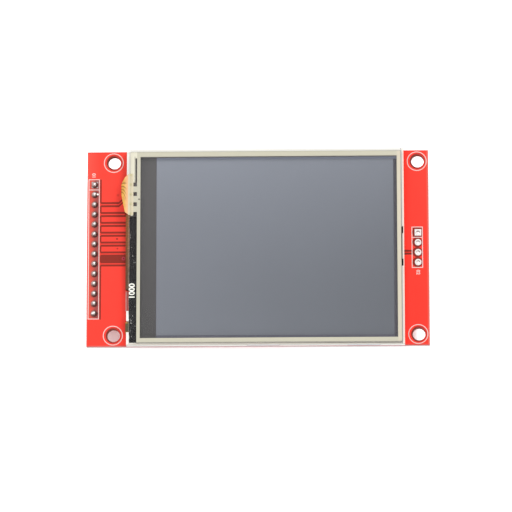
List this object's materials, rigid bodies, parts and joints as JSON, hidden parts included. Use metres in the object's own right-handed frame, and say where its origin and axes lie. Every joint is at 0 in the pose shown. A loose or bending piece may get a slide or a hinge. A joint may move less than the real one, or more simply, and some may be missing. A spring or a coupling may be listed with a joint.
{
  "type": "tft display module",
  "caption": "Colour display panel with a touch screen on a red breakout board, with a row of header pins and a memory-card socket behind it.",
  "frame": {"origin": "centre of the four mounting holes, on the board's front face", "axes": "+X along the board, away from the pin header; +Y across the board, towards the header's first pin; +Z out of the screen"},
  "size_m": [0.086, 0.05, 0.0144],
  "materials": {
    "board_mask": "gloss",
    "white_print": "matte",
    "tinned_copper": "satin",
    "solder": "gloss",
    "black_plastic": "matte",
    "gilt_pin": "satin",
    "foam": "matte",
    "sheet_steel": "satin",
    "white_plastic": "matte",
    "optical_sheet": "satin",
    "lamp": "gloss",
    "amber_film": "gloss",
    "black_tape": "matte",
    "polariser": "gloss",
    "cell_glass": "gloss",
    "silicon": "gloss",
    "cream_border": "matte",
    "clear_glass": "gloss",
    "clear_film": "gloss",
    "moulding": "matte",
    "ceramic": "matte"
  },
  "bodies": {
    "root": {"circuit_board": "board_mask", "front_legend": "white_print", "rear_legend": "white_print", "header_pads": "tinned_copper", "spare_pads": "tinned_copper", "rear_lands": "tinned_copper", "header_housing": "black_plastic", "header_solder": "solder", "foam_strips": "foam", "steel_tray": "sheet_steel", "display_frame": "white_plastic", "reflector_sheet": "white_print", "light_guide": "optical_sheet", "diffuser_sheet": "optical_sheet", "lower_prism_sheet": "optical_sheet", "upper_prism_sheet": "optical_sheet", "lamp_flex": "amber_film", "lamps": "lamp", "rim_tape": "black_tape", "rear_polariser": "polariser", "lower_glass": "cell_glass", "upper_glass": "cell_glass", "front_polariser": "polariser", "driver_chip": "silicon", "display_flex": "amber_film", "shield_tape": "black_tape", "side_tape": "black_tape", "touch_gasket": "cream_border", "touch_glass": "clear_glass", "touch_border": "cream_border", "touch_film": "clear_film", "touch_flex": "amber_film", "socket_base": "black_plastic", "socket_cover": "sheet_steel", "socket_contacts": "gilt_pin", "card_switch": "gilt_pin", "touch_controller": "moulding", "controller_leads": "tinned_copper", "regulator": "moulding", "lamp_transistor": "moulding", "small_leads": "tinned_copper", "resistors": "moulding", "capacitors": "ceramic", "passive_ends": "tinned_copper", "header_pin_01": "gilt_pin", "header_pin_02": "gilt_pin", "header_pin_03": "gilt_pin", "header_pin_04": "gilt_pin", "header_pin_05": "gilt_pin", "header_pin_06": "gilt_pin", "header_pin_07": "gilt_pin", "header_pin_08": "gilt_pin", "header_pin_09": "gilt_pin", "header_pin_10": "gilt_pin", "header_pin_11": "gilt_pin", "header_pin_12": "gilt_pin", "header_pin_13": "gilt_pin", "header_pin_14": "gilt_pin"}
  },
  "joints": []
}
